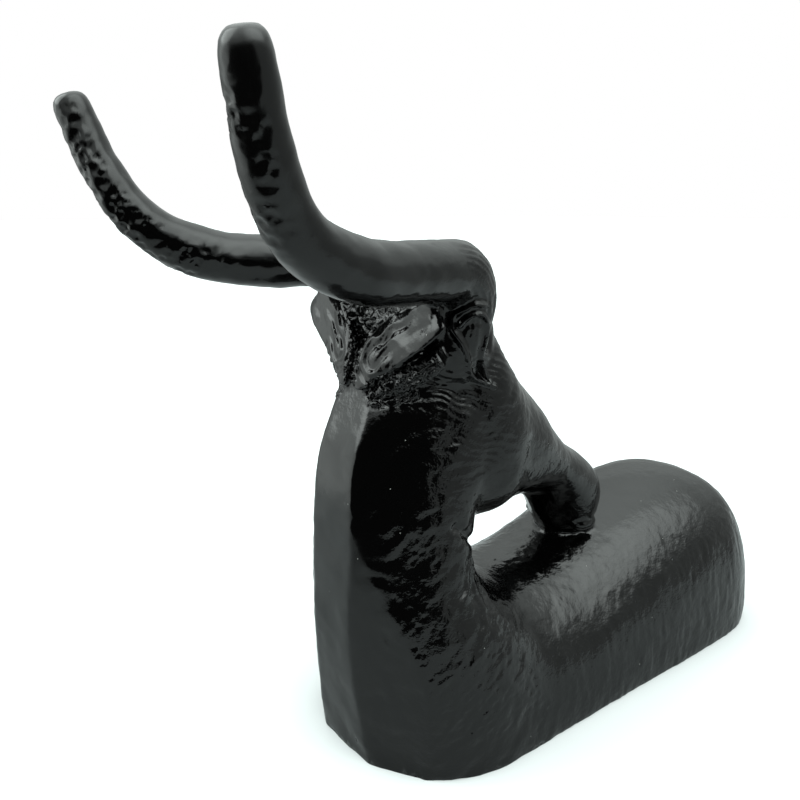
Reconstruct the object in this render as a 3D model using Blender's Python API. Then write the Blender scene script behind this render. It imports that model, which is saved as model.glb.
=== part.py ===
"""Resting stag, one solid casting: a loaf-shaped body with a flat base, a pared neck, a head turned
back to lie on its own back, and two smooth antlers.

Frame: metres, +Z up. +X runs from the chest to the rump, the figure is alike on both sides of y = 0,
and the origin is the middle of the flat base that it rests on. The stations below count x from the
chest line.
"""
from math import pi, radians, tan

import bmesh
import bpy
import numpy as np

# Driving sizes
FIGURE_HEIGHT = 0.155               # base to antler tips
BODY_LENGTH = 0.148                 # chest line to rump
BODY_WIDTH = 0.0628                 # across the flanks at the base
SADDLE_HEIGHT = 0.0372              # lowest part of the back, under the chin
RUMP_HEIGHT = 0.0500                # highest part of the back
RUMP_ROUND = 0.0420                 # length over which the rump closes
RUMP_POWER = 3.5                    # how squarely it closes
NECK_WIDTH = 0.0425                 # across the upper neck
HEAD_WIDTH = 0.0430                 # across the cheeks
MUZZLE_WIDTH = 0.0262               # across the nose
CHEST_STRIP_WIDTH = 0.0158          # flat strip down the chest
CHEST_FACET_TURN = radians(31)      # how far the facet beside the strip is turned back
ANTLER_SPREAD = 0.0810              # between the middles of the antler tips
ANTLER_ROOTS = 0.565                # between the middles of their roots, as a share of HEAD_WIDTH
ANTLER_THICKNESS = 0.0134           # across the beam above the ear
ANTLER_TIP_THICKNESS = 0.0088       # across the beam below its rounded end
EAR_WIDTH = 0.0100                  # across the leaf
EAR_THICKNESS = 0.0056
EYE_LENGTH = 0.0190
EYE_WIDTH = 0.0062
EYE_DEPTH = 0.0056                  # of the whole lens, about half of it stands out of the head
EYE_BLUNT = 0.96                    # share of the almond's length that is kept between its points

TRUNK_CELL = 0.0020                 # grid on which the body and the neck run together
TRUNK_PASSES = 40                   # smoothing passes that round the shoulder
SKIN_CELL = 0.0016                  # grid on which head, ears and antlers join the trunk
SKIN_PASSES = 5                     # smoothing passes that soften their creases
KEPT_FACES = 0.18                   # share of the skin's faces that is kept
BELOW_BASE = 0.006                  # how far the forms run on under the base before it is cut flat
BURIED_POWER = 0.3                  # how upright they run on there
BODY_SIDES = 48
NECK_SIDES = 64
HEAD_SIDES = 48
ANTLER_SIDES = 24
EAR_SIDES = 20
EYE_SIDES = 16
LEAST_RING = 0.05                   # smallest share that a closing section shrinks to

# The free forms are drawn in 155ths of the figure's height, about a millimetre each
GRAIN = FIGURE_HEIGHT / 155

# Chest line from the base up: height, place along x, width of the strip as a share
CHEST = [(-8, -0.2, 1.35), (0, -1.0, 1.22), (12, -2.7, 1.11), (24, -4.0, 1.00), (34, -4.6, 0.94),
         (45, -4.5, 0.97), (54, -4.1, 1.00), (62, -4.0, 0.94), (70, -3.4, 0.92), (78, -1.6, 1.05),
         (85, 1.2, 1.09), (92, 4.0, 1.01), (98, 6.5, 0.95), (110, 11.0, 0.95)]

# Body from the chest back: share of the length, rise from saddle to rump, share of the width, power
BODY = [(0.09, 0.35, 0.90, 2.0), (0.22, 0.25, 0.98, 2.0), (0.32, 0.00, 0.99, 2.0),
        (0.41, 0.00, 0.99, 2.0), (0.51, 0.28, 0.99, 2.15), (0.63, 0.68, 1.00, 2.5),
        (0.75, 0.94, 1.00, 2.6), (0.88, 1.00, 1.01, 2.7), (1.00, 1.00, 1.01, 2.7)]

# Neck from the base up: height, front, from there to its widest place, back, share of the way from
# the neck's width to the body's
NECK = [(-6, -4, 34, 60, 1.00), (0, -4.5, 34, 60, 1.00), (12, -7, 34, 57, 0.96),
        (24, -9, 34, 52, 0.82), (34, -10, 31.2, 44, 0.61), (45, -10, 27.8, 35, 0.33),
        (54, -9, 25, 30, 0.14), (62, -8.5, 23.1, 29, 0.06), (70, -7.5, 23.1, 30, 0.02),
        (78, -5.5, 23.1, 32, 0.00), (85, -2.5, 23.1, 33, -0.05), (92, 1.2, 23.1, 33, -0.20),
        (98, 5, 23.1, 29, -0.50), (103, 9, 23.1, 26, -1.00)]

# Head from the poll to the nose: upper point, lower point, how far it is muzzle, share of that
# width, power, and how much its underside narrows
HEAD = [(5, 98, 9, 84, 0.0, 0.60, 2.0, 0.0), (8, 106, 14, 72, 0.0, 0.86, 2.1, 0.0),
        (16, 112, 20, 62, 0.0, 0.98, 2.2, 0.0), (28.5, 111, 27, 54, 0.0, 1.01, 2.3, 0.1),
        (37, 102.4, 34, 51.5, 0.0, 1.01, 2.4, 0.18), (43.6, 94.1, 40, 52, 0.2, 0.99, 2.3, 0.22),
        (52.5, 85, 46, 53, 0.45, 1.00, 2.2, 0.25), (60.5, 76, 52, 53, 0.75, 1.02, 2.2, 0.25),
        (68, 69, 58, 51.3, 0.95, 1.02, 2.2, 0.22), (77, 63, 61.2, 46, 1.0, 0.99, 2.3, 0.15),
        (83.5, 57, 64, 41, 1.0, 0.95, 2.3, 0.05), (85, 50, 68, 38, 1.0, 0.84, 2.2, 0.0),
        (82, 44, 73, 36, 1.0, 0.54, 2.0, 0.0)]

# Antler from the brow to its tip: x, how far it has spread, z, how far it is tip, share of that
ANTLER = [(20.5, 0.00, 96, 0.0, 1.19), (20.8, 0.10, 104, 0.0, 1.13), (20.6, 0.185, 111.2, 0.0, 1.07),
          (16.0, 0.286, 117.0, 0.0, 1.04), (7.0, 0.372, 117.9, 0.0, 1.00),
          (-3.8, 0.471, 118.2, 0.05, 1.0), (-13.0, 0.571, 119.1, 0.15, 1.0),
          (-21.6, 0.644, 121.6, 0.3, 1.0), (-28.9, 0.714, 125.9, 0.5, 1.0),
          (-33.7, 0.792, 131.6, 0.7, 1.0), (-37.0, 0.873, 138.5, 0.85, 1.0),
          (-39.3, 0.936, 145.0, 0.97, 1.0), (-40.8, 0.979, 150.2, 1.0, 0.98),
          (-41.4, 0.993, 153.0, 1.0, 0.84), (-41.8, 1.0, 154.7, 1.0, 0.50)]

# Ear laid back along the nape, from its root to its tip: x, share of half the head's width, z,
# share of thickness, of width
EAR = [(12.0, 0.977, 114.0, 0.7, 0.64), (9.6, 0.921, 109.8, 0.93, 0.88),
       (7.2, 0.707, 104.8, 1.0, 1.0), (6.0, 0.474, 100.2, 0.93, 0.98),
       (5.2, 0.270, 95.9, 0.82, 0.80), (5.0, 0.130, 92.2, 0.54, 0.44)]

# Eye: its middle, as the ear's, the way it lies along the head, and the way it looks
EYE_PLACE = (20.9, 0.985, 102.2)
EYE_ALONG = (0.45, 0.05, -0.89)
EYE_OUT = (0.30, -0.95, 0.10)


def smooth_rows(stations, count):
    """Rows along a smooth curve through the stations, evenly spread between them."""
    rows = np.asarray(stations, float)
    t = np.linspace(0, len(rows) - 1, count)
    i = np.clip(t.astype(int), 0, len(rows) - 2)
    f = (t - i)[:, None]
    start = rows[i]
    end = rows[i + 1]
    leave = (end - rows[np.maximum(i - 1, 0)]) / 2
    arrive = (rows[np.minimum(i + 2, len(rows) - 1)] - start) / 2
    return ((2 * f**3 - 3 * f**2 + 1) * start + (f**3 - 2 * f**2 + f) * leave
            + (3 * f**2 - 2 * f**3) * end + (f**3 - f**2) * arrive)


def rounded_ring(sides, power):
    """Unit ring: a circle at power 2, squarer above it."""
    angle = np.linspace(0, 2 * pi, sides, endpoint=False)
    c = np.cos(angle)
    s = np.sin(angle)
    return np.sign(c) * abs(c) ** (2 / power), np.sign(s) * abs(s) ** (2 / power)


def blend(a, b, share):
    return a + (b - a) * share


def body_rings():
    """Arched sections along x over a flat base. Past the start of the rump they close together."""
    rump_start = BODY_LENGTH - RUMP_ROUND
    rings = []
    for share, rise, wide, power in smooth_rows(BODY, 60):
        x = share * BODY_LENGTH
        gone = max(x - rump_start, 0) / RUMP_ROUND
        close = max(max(1 - gone**RUMP_POWER, 0) ** (1 / RUMP_POWER), LEAST_RING)
        c, s = rounded_ring(BODY_SIDES, power)
        y = BODY_WIDTH / 2 * wide * close * c
        arch = blend(SADDLE_HEIGHT, RUMP_HEIGHT, rise) * close * s
        z = np.where(s >= 0, arch, -BELOW_BASE * abs(s) ** BURIED_POWER)
        rings.append(np.stack([np.full_like(y, x), y, z], -1))
    return rings


def neck_rings():
    """Level egg-shaped sections, widest behind the chest."""
    rings = []
    for z, front, widest, back, flare in smooth_rows(NECK, 60):
        c, s = rounded_ring(NECK_SIDES, 2.0)
        x = front + widest + np.where(c < 0, widest * c, (back - front - widest) * c)
        y = blend(NECK_WIDTH, BODY_WIDTH, flare) / 2 * s
        rings.append(np.stack([x * GRAIN, y, np.full_like(x, z * GRAIN)], -1))
    return rings


def chest_waste_rings():
    """What is pared off in front of the chest line, down to the strip and the facets beside it."""
    side = BODY_WIDTH
    rings = []
    for z, front, share in smooth_rows(CHEST, 60):
        front = front * GRAIN
        strip = CHEST_STRIP_WIDTH / 2 * share
        back = front + (side - strip) * tan(CHEST_FACET_TURN)
        away = -side
        rings.append([(away, -side, z * GRAIN), (back, -side, z * GRAIN),
                      (front, -strip, z * GRAIN), (front, strip, z * GRAIN),
                      (back, side, z * GRAIN), (away, side, z * GRAIN)])
    return rings


def head_rings():
    """Sections from the poll to the nose, each hung between an upper and a lower point."""
    rings = []
    for top_x, top_z, low_x, low_z, muzzle, wide, power, narrow in smooth_rows(HEAD, 72):
        c, s = rounded_ring(HEAD_SIDES, power)
        x = blend(low_x, top_x, (1 + s) / 2) * GRAIN
        z = blend(low_z, top_z, (1 + s) / 2) * GRAIN
        y = blend(HEAD_WIDTH, MUZZLE_WIDTH, muzzle) / 2 * wide * c
        y = y * (1 - narrow * np.maximum(-s, 0))
        rings.append(np.stack([x, y, z], -1))
    return rings


def swept_rings(rows, sides):
    """Oval rings square to a path. A row holds x, y, z and the two half sizes of its oval."""
    centre = rows[:, :3]
    along = np.gradient(centre, axis=0)
    along /= np.linalg.norm(along, axis=1)[:, None]
    across = np.cross(along[0], (0, 0, 1))
    c, s = rounded_ring(sides, 2.0)
    rings = []
    for p, t, first, second in zip(centre, along, rows[:, 3], rows[:, 4]):
        across = across - t * across.dot(t)
        across /= np.linalg.norm(across)
        up = np.cross(t, across)
        rings.append(p + np.outer(c * first, across) + np.outer(s * second, up))
    return rings


def antler_rings(side):
    rows = []
    for x, spread, z, tip, share in ANTLER:
        y = side * blend(ANTLER_ROOTS * HEAD_WIDTH, ANTLER_SPREAD, spread) / 2
        half = blend(ANTLER_THICKNESS, ANTLER_TIP_THICKNESS, tip) / 2 * share
        rows.append((x * GRAIN, y, z * GRAIN, half, half))
    return swept_rings(smooth_rows(rows, 150), ANTLER_SIDES)


def ear_rings(side):
    rows = [(x * GRAIN, side * out * HEAD_WIDTH / 2, z * GRAIN,
             thin * EAR_THICKNESS / 2, wide * EAR_WIDTH / 2) for x, out, z, thin, wide in EAR]
    return swept_rings(smooth_rows(rows, 50), EAR_SIDES)


def eye_rings(side):
    """Almond lens that stands a little out of the side of the head."""
    x, place, z = EYE_PLACE
    middle = np.array([x * GRAIN, side * place * HEAD_WIDTH / 2, z * GRAIN])
    along = np.array(EYE_ALONG) * (1, -side, 1)
    out = np.array(EYE_OUT) * (1, -side, 1)
    along /= np.linalg.norm(along)
    out -= along * out.dot(along)
    out /= np.linalg.norm(out)
    across = np.cross(out, along)
    c, s = rounded_ring(EYE_SIDES, 2.0)
    rings = []
    for t in np.linspace(-EYE_BLUNT, EYE_BLUNT, 17):
        almond = 1 - t * t
        rings.append(middle + along * t * EYE_LENGTH / 2
                     + np.outer(c * almond * EYE_WIDTH / 2, across)
                     + np.outer(s * almond * EYE_DEPTH / 2, out))
    return rings


def closed_loft(name, rings):
    """Mesh through the rings, with a cap at each end."""
    mesh = bpy.data.meshes.new(name)
    bm = bmesh.new()
    loops = [[bm.verts.new(p) for p in ring] for ring in rings]
    for low, high in zip(loops, loops[1:]):
        for k in range(len(low)):
            after = (k + 1) % len(low)
            bm.faces.new((low[k], low[after], high[after], high[k]))
    bm.faces.new(loops[0][::-1])
    bm.faces.new(loops[-1])
    bmesh.ops.recalc_face_normals(bm, faces=bm.faces)
    bm.to_mesh(mesh)
    bm.free()
    mesh.shade_smooth()
    return mesh


def placed(name, mesh, figure):
    obj = bpy.data.objects.new(name, mesh)
    bpy.context.scene.collection.objects.link(obj)
    obj.parent = figure
    return obj


def guide(name, rings, figure):
    """Form that only shapes the stag and isn't part of it."""
    obj = placed(name, closed_loft(name, rings), figure)
    obj.hide_render = True
    obj.display_type = "WIRE"
    return obj


def run_together(obj, cell, passes):
    """Overlapping shells become one skin, whose creases are then softened."""
    join = obj.modifiers.new("join", "REMESH")
    join.mode = "VOXEL"
    join.voxel_size = cell
    join.use_smooth_shade = True
    soften = obj.modifiers.new("soften", "SMOOTH")
    soften.factor = 0.5
    soften.iterations = passes


def combine(obj, other, operation):
    mod = obj.modifiers.new(other.name, "BOOLEAN")
    mod.operation = operation
    mod.object = other
    mod.solver = "EXACT"


def black_gloss():
    material = bpy.data.materials.new("black_gloss")
    material.use_nodes = True
    shader = material.node_tree.nodes["Principled BSDF"]
    shader.inputs["Base Color"].default_value = (0.006, 0.007, 0.007, 1)
    shader.inputs["Roughness"].default_value = 0.22
    shader.inputs["Metallic"].default_value = 0.0
    return material


def build():
    for obj in list(bpy.data.objects):
        bpy.data.objects.remove(obj, do_unlink=True)
    figure = placed("figure", None, None)
    figure.location.x = -BODY_LENGTH / 2

    trunk = bmesh.new()
    trunk.from_mesh(closed_loft("body", body_rings()))
    trunk.from_mesh(closed_loft("neck", neck_rings()))
    mesh = bpy.data.meshes.new("stag")
    trunk.to_mesh(mesh)
    trunk.free()
    mesh.materials.append(black_gloss())
    stag = placed("stag", mesh, figure)
    run_together(stag, TRUNK_CELL, TRUNK_PASSES)
    combine(stag, guide("chest_waste", chest_waste_rings(), figure), "DIFFERENCE")

    combine(stag, guide("head", head_rings(), figure), "UNION")
    for side, name in ((-1, "near"), (1, "far")):
        combine(stag, guide("antler_" + name, antler_rings(side), figure), "UNION")
        combine(stag, guide("ear_" + name, ear_rings(side), figure), "UNION")
    run_together(stag, SKIN_CELL, SKIN_PASSES)

    thin = stag.modifiers.new("thin_out", "DECIMATE")
    thin.ratio = KEPT_FACES
    for side, name in ((-1, "near"), (1, "far")):
        combine(stag, guide("eye_" + name, eye_rings(side), figure), "UNION")

    reach = BODY_LENGTH * 2
    square = [(-reach, -reach), (reach, -reach), (reach, reach), (-reach, reach)]
    under = [[(x, y, z) for x, y in square] for z in (-reach, 0)]
    combine(stag, guide("under_base", under, figure), "DIFFERENCE")
    stag.modifiers.new("shading", "WEIGHTED_NORMAL")
    return stag


build()
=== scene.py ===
from itertools import product
from math import pi, radians

import bpy
import numpy as np
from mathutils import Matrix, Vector


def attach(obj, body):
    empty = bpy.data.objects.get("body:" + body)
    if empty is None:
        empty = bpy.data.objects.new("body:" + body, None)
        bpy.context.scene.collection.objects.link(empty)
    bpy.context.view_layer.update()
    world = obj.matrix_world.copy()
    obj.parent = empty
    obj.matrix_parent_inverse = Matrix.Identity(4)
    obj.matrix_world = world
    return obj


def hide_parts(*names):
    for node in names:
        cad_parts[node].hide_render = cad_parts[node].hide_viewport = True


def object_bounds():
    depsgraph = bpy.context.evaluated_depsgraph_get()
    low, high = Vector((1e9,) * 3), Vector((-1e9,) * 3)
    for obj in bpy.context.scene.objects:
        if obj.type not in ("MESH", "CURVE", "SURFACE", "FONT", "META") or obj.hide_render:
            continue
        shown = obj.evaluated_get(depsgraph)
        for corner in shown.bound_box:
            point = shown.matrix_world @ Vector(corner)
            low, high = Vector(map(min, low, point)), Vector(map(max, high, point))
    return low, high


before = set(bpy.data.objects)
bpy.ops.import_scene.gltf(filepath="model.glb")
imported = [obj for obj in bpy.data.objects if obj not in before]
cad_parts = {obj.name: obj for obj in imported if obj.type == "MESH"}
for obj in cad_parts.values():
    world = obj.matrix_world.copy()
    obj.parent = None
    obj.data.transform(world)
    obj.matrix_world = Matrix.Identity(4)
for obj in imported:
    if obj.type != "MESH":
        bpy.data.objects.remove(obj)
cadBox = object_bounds()
mm = 0.001
# the shapes count x in mm from the chest line, which lies 74 mm in front of the frame's origin
chestX = -74.0
print("frame loaded, box", [round(c / mm, 1) for corner in cadBox for c in corner])


# numbers and meshes

def smoothRows(stations, count):
    # a cubic through the stations, its slope at each one half the step between its neighbours
    rows = np.asarray(stations, float)
    t = np.linspace(0, len(rows) - 1, count)
    i = np.clip(t.astype(int), 0, len(rows) - 2)
    f = (t - i)[:, None]
    a, b = rows[i], rows[i + 1]
    leave = (b - rows[np.maximum(i - 1, 0)]) / 2
    arrive = (rows[np.minimum(i + 2, len(rows) - 1)] - a) / 2
    return ((2 * f**3 - 3 * f**2 + 1) * a + (f**3 - 2 * f**2 + f) * leave
            + (3 * f**2 - 2 * f**3) * b + (f**3 - f**2) * arrive)


def mix(a, b, share):
    return a + (b - a) * share


def ramp(x, low, high):
    # 0 below low, 1 above high, an even S between them
    t = np.clip((x - low) / (high - low), 0, 1)
    return t * t * (3 - 2 * t)


def roundedRing(sides, power):
    # cosine and sine round a circle, squared off as power goes above 2; power may be a column
    angle = np.linspace(0, 2 * pi, sides, endpoint=False)
    c, s = np.cos(angle)[None], np.sin(angle)[None]
    return np.sign(c) * abs(c) ** (2 / power), np.sign(s) * abs(s) ** (2 / power)


def closedGrid(grid):
    # quads between the rings of a (ring, side, xyz) grid, and a fan to a middle point at each end
    rings, sides = grid.shape[:2]
    k = np.arange(rings * sides).reshape(rings, sides)
    after = np.roll(k, -1, axis=1)
    quads = np.stack([k[:-1], after[:-1], after[1:], k[1:]], -1).reshape(-1, 4)
    points = np.concatenate([grid.reshape(-1, 3), [grid[0].mean(0)], [grid[-1].mean(0)]])
    low = np.stack([after[0], k[0], np.full(sides, rings * sides)], -1)
    high = np.stack([k[-1], after[-1], np.full(sides, rings * sides + 1)], -1)
    tris = np.concatenate([quads[:, [0, 1, 2]], quads[:, [0, 2, 3]], low, high])
    a, b, c = points[tris[:, 0]], points[tris[:, 1]], points[tris[:, 2]]
    if np.einsum("ij,ij->", a, np.cross(b, c)) < 0:  # its volume is negative when it is inside out
        tris = tris[:, ::-1]
    return points, tris


def joined(shells):
    points, tris, start = [], [], 0
    for p, t in shells:
        points.append(p)
        tris.append(t + start)
        start += len(p)
    return np.concatenate(points), np.concatenate(tris)


def meshObject(name, points, tris):
    mesh = bpy.data.meshes.new(name)
    mesh.vertices.add(len(points))
    mesh.vertices.foreach_set("co", np.asarray(points, np.float32).ravel())
    mesh.loops.add(len(tris) * 3)
    mesh.loops.foreach_set("vertex_index", np.asarray(tris, np.int32).ravel())
    mesh.polygons.add(len(tris))
    mesh.polygons.foreach_set("loop_start", np.arange(0, len(tris) * 3, 3, dtype=np.int32))
    mesh.polygons.foreach_set("loop_total", np.full(len(tris), 3, np.int32))
    mesh.update(calc_edges=True)
    mesh.validate()
    obj = bpy.data.objects.new(name, mesh)
    bpy.context.scene.collection.objects.link(obj)
    return obj


def finished(obj):
    # the points and triangles of an object with its modifiers, which is then removed
    bpy.context.view_layer.update()
    shown = obj.evaluated_get(bpy.context.evaluated_depsgraph_get())
    mesh = shown.to_mesh()
    mesh.calc_loop_triangles()
    points = np.empty(len(mesh.vertices) * 3, np.float32)
    mesh.vertices.foreach_get("co", points)
    tris = np.empty(len(mesh.loop_triangles) * 3, np.int32)
    mesh.loop_triangles.foreach_get("vertices", tris)
    shown.to_mesh_clear()
    bpy.data.objects.remove(obj)
    return points.reshape(-1, 3).astype(float), tris.reshape(-1, 3)


def fused(name, shells, cell, passes, refineTwice=False):
    # overlapping shells become one skin on a grid of cell mm, smoothed over passes
    obj = meshObject(name, *joined(shells))
    join = obj.modifiers.new("join", "REMESH")
    join.mode = "VOXEL"
    join.voxel_size = cell
    soften = obj.modifiers.new("soften", "SMOOTH")
    soften.factor = 0.5
    soften.iterations = passes
    if refineTwice:
        finer = obj.modifiers.new("finer", "SUBSURF")
        finer.levels = finer.render_levels = 1
    return finished(obj)


def edgesOf(tris):
    pairs = np.sort(np.concatenate([tris[:, [0, 1]], tris[:, [1, 2]], tris[:, [2, 0]]]), axis=1)
    edges, place = np.unique(pairs, axis=0, return_inverse=True)
    return edges, place.reshape(3, -1).T


def refined(points, tris, wanted):
    # an edge is halved where both its ends are wanted, so a triangle becomes four, two or stays
    edges, edgeOfTri = edgesOf(tris)
    cut = wanted[edges].all(1)
    middle = np.where(cut, len(points) + np.cumsum(cut) - 1, -1)
    points = np.concatenate([points, points[edges[cut]].mean(1)])
    m = middle[edgeOfTri]
    whole = (m >= 0).all(1)
    none = (m < 0).all(1)
    a, b, c = tris[whole].T
    ab, bc, ca = m[whole].T
    parts = [tris[none]]
    parts += [np.stack(t, -1) for t in ((a, ab, ca), (ab, b, bc), (ca, bc, c), (ab, bc, ca))]
    for k in range(3):
        one = (m[:, k] >= 0) & ~whole
        a, b, c = tris[one][:, [k, (k + 1) % 3, (k + 2) % 3]].T
        parts += [np.stack((a, m[one, k], c), -1), np.stack((m[one, k], b, c), -1)]
    return points, np.concatenate(parts)


def relaxed(points, tris, strength, passes):
    # each point moves towards the mean of its neighbours, by its own strength
    edges = edgesOf(tris)[0]
    n = len(points)
    near = np.bincount(edges.ravel(), minlength=n)[:, None]
    strength = np.broadcast_to(strength, n)[:, None]
    for _ in range(passes):
        total = np.stack([np.bincount(edges[:, 0], points[edges[:, 1], k], n)
                          + np.bincount(edges[:, 1], points[edges[:, 0], k], n)
                          for k in range(3)], 1)
        points = points + strength * (total / near - points)
    return points


def normalsOf(points, tris):
    # area-weighted mean of the triangles round each point
    a, b, c = (points[tris[:, k]] for k in range(3))
    face = np.cross(b - a, c - a)
    total = np.stack([np.bincount(tris.ravel(), np.repeat(face[:, k], 3), len(points))
                      for k in range(3)], 1)
    return total / np.maximum(np.linalg.norm(total, axis=1), 1e-12)[:, None]


# uneven surfaces; the seed given to each of these picks its random pattern

def scattered(corner, seed):
    # a repeatable number from 0 to 1 for each whole-numbered corner; large odd numbers mix its bits
    n = ((corner[..., 0] * 73856093) ^ (corner[..., 1] * 19349663) ^ (corner[..., 2] * 83492791)
         ^ (seed * 2654435761)) & 0xffffffff
    n = ((n ^ (n >> 15)) * 2246822519) & 0xffffffff
    n = ((n ^ (n >> 13)) * 3266489917) & 0xffffffff
    return (n ^ (n >> 16)) / 2**32


def waves(p, seed):
    # soft random hills from -1 to 1, about one to each unit of p
    base = np.floor(p).astype(np.int64)
    f = p - base
    f = f * f * (3 - 2 * f)
    total = np.zeros(len(p))
    for corner in product((0, 1), repeat=3):
        weight = np.where(corner, f, 1 - f).prod(1)
        total += weight * scattered(base + corner, seed)
    return 2 * total - 1


def layered(p, seed):
    # waves with smaller ones on them, moved along so that the two patterns don't line up
    return waves(p, seed) + 0.5 * waves(p * 2.1 + 7.3, seed + 1)


def wander(p, seed):
    # a step in x, y and z from three waves
    return np.stack([waves(p, seed + k) for k in range(3)], -1)


def grains(p, seed, jitter=0.8):
    # distance to the nearest and to the second nearest of scattered points, one to each unit of p,
    # each up to half of jitter away from the middle of its cell
    base = np.floor(p).astype(np.int64)
    first = second = np.full(len(p), np.inf)
    for step in product((-1, 0, 1), repeat=3):
        cell = base + step
        spread = np.stack([scattered(cell, seed + k) for k in range(3)], -1) - 0.5
        d = np.linalg.norm(cell + 0.5 + jitter * spread - p, axis=1)
        second = np.minimum(second, np.maximum(first, d))
        first = np.minimum(first, d)
    return first, second


def ridge(distance, width):
    # 1 on a line, falling off to both sides
    return np.exp(-(distance / width) ** 2)


# where marks lie

def fromLine(flat, stations, count=60):
    # distance of flat points to a smooth line through the stations
    line = smoothRows(stations, count)
    a, step = line[:-1], np.diff(line, axis=0)
    rel = flat[:, None] - a
    t = np.clip((rel * step).sum(-1) / (step**2).sum(-1), 0, 1)
    return np.linalg.norm(rel - t[..., None] * step, axis=-1).min(1)


def folded(p):
    # both sides of the middle plane laid on one, for marks that are alike on both
    return np.stack([p[:, 0], abs(p[:, 1]), p[:, 2]], -1)


def slanted(p, c, s):
    # x and z mixed so that marks lean in the middle plane
    x, y, z = p.T
    return np.stack([c * x + s * z, y, c * z - s * x], -1)


def places(p):
    return {"x": p[:, 0], "out": abs(p[:, 1]), "z": p[:, 2]}


def within(at, edges):
    # product of soft edges, each with a coordinate, where the marks start and where they are full
    share = 1.0
    for name, start, full in edges:
        share = share * ramp(at[name], start, full)
    return share


def boxed(at, limits):
    # whether each point is between the two limits of every coordinate that is named
    return np.logical_and.reduce([(at[name] > low) & (at[name] < high)
                                  for name, (low, high) in limits.items()])


# the stag's forms, in mm from the chest line, alike on both sides of y = 0

bodyForm = {"length": 148, "width": 62.8, "saddle": 37.2, "rump": 50.0,
            "rumpRound": 42, "rumpPower": 3.5, "endShare": 0.05,
            "below": 6, "belowPower": 0.3, "sections": 120, "sides": 96}
# share of the length, rise from saddle to rump, share of the width, how square the section is
bodyStations = [(0.09, 0.35, 0.90, 2.0), (0.22, 0.25, 0.98, 2.0), (0.32, 0.00, 0.99, 2.15),
                (0.41, 0.00, 0.99, 2.25), (0.51, 0.28, 0.99, 2.35), (0.63, 0.68, 1.00, 2.5),
                (0.75, 0.94, 1.00, 2.6), (0.88, 1.00, 1.01, 2.7), (1.00, 1.00, 1.01, 2.7)]


def bodyShell(f):
    # arched sections along x over a flat base, closing together over the rump
    stations = smoothRows(bodyStations, f["sections"])
    share, rise, wide, power = (k[:, None] for k in stations.T)
    x = share * f["length"]
    gone = np.maximum(x - f["length"] + f["rumpRound"], 0) / f["rumpRound"]
    close = np.maximum(1 - gone ** f["rumpPower"], 0) ** (1 / f["rumpPower"])
    close = np.maximum(close, f["endShare"])
    c, s = roundedRing(f["sides"], power)
    arch = mix(f["saddle"], f["rump"], rise) * close * s
    z = np.where(s >= 0, arch, -f["below"] * abs(s) ** f["belowPower"])
    y = f["width"] / 2 * wide * close * c
    return closedGrid(np.stack([x + 0 * y, y, z], -1))


# footToFront is where the front's section turns from its foot's power to its own
neckForm = {"width": 42.5, "bodyWidth": 62.8, "footPower": 1.95, "frontPower": 1.72,
            "footToFront": (12, 45), "sections": 120, "sides": 128}
# height, front, from there to the widest place, back, share of the way to the body's width,
# how square behind
neckStations = [(-6, -4, 34, 62, 1.00, 2.0), (0, -4.5, 34, 62, 1.00, 2.0),
                (12, -7, 34, 61, 0.96, 2.0), (24, -9, 32, 55, 0.82, 2.0),
                (34, -9, 29, 44.5, 0.61, 2.0), (41, -8, 25.5, 34.5, 0.38, 2.0),
                (48, -7, 23, 29, 0.20, 2.0), (55, -7, 24.5, 30.5, 0.08, 2.0),
                (60, -7, 26, 30.5, 0.03, 2.0), (66, -7, 28, 31, 0.01, 2.0),
                (72, -6.8, 33, 37, 0.00, 2.6), (78, -5.5, 36, 42, 0.00, 2.8),
                (85, -2.5, 34, 42, -0.03, 2.8), (92, 1.2, 29, 40, -0.12, 2.8),
                (98, 5, 25, 36, -0.40, 2.8), (103, 9, 23.1, 32, -0.90, 2.6)]


def neckShell(f):
    # level egg-shaped sections, widest behind the chest
    stations = smoothRows(neckStations, f["sections"])
    z, front, widest, back, flare, power = (k[:, None] for k in stations.T)
    frontPower = mix(f["footPower"], f["frontPower"], ramp(z, *f["footToFront"]))
    c, s = roundedRing(f["sides"], frontPower)
    squareC, squareS = roundedRing(f["sides"], power)
    x = front + widest + np.where(c < 0, widest * c, (back - front - widest) * squareC)
    y = mix(f["width"], f["bodyWidth"], flare) / 2 * np.where(c < 0, s, squareS)
    return closedGrid(np.stack([x, y, z + 0 * y], -1))


chestForm = {"stripWidth": 15.8, "facetTurn": 31, "fadeOut": (98, 90)}
# height, place along x, share of the strip's width
chestStations = [(-8, -0.2, 1.35), (0, -1.0, 1.22), (12, -2.7, 1.11), (24, -4.0, 1.00),
                 (34, -4.6, 0.94), (45, -4.5, 0.97), (54, -4.1, 1.00), (62, -4.0, 0.94),
                 (70, -3.4, 0.92), (78, -1.6, 1.05), (85, 1.2, 1.09), (92, 4.0, 1.01),
                 (98, 6.5, 0.95), (110, 11.0, 0.95)]


def paredChest(points, f):
    # what lies in front of the strip and of the facets beside it is pushed back onto them
    z, front, share = smoothRows(chestStations, 400).T
    x, y, height = points.T
    line = np.interp(height, z, front)
    strip = f["stripWidth"] / 2 * np.interp(height, z, share)
    limit = line + np.maximum(abs(y) - strip, 0) * np.tan(radians(f["facetTurn"]))
    reach = ramp(height, *f["fadeOut"])
    return np.stack([np.where(x < limit, mix(x, limit, reach), x), y, height], -1)


headForm = {"width": 43.0, "muzzle": 26.2, "underPower": 3.4, "muzzleUnderPower": 1.9,
            "sections": 140, "sides": 96}
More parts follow.
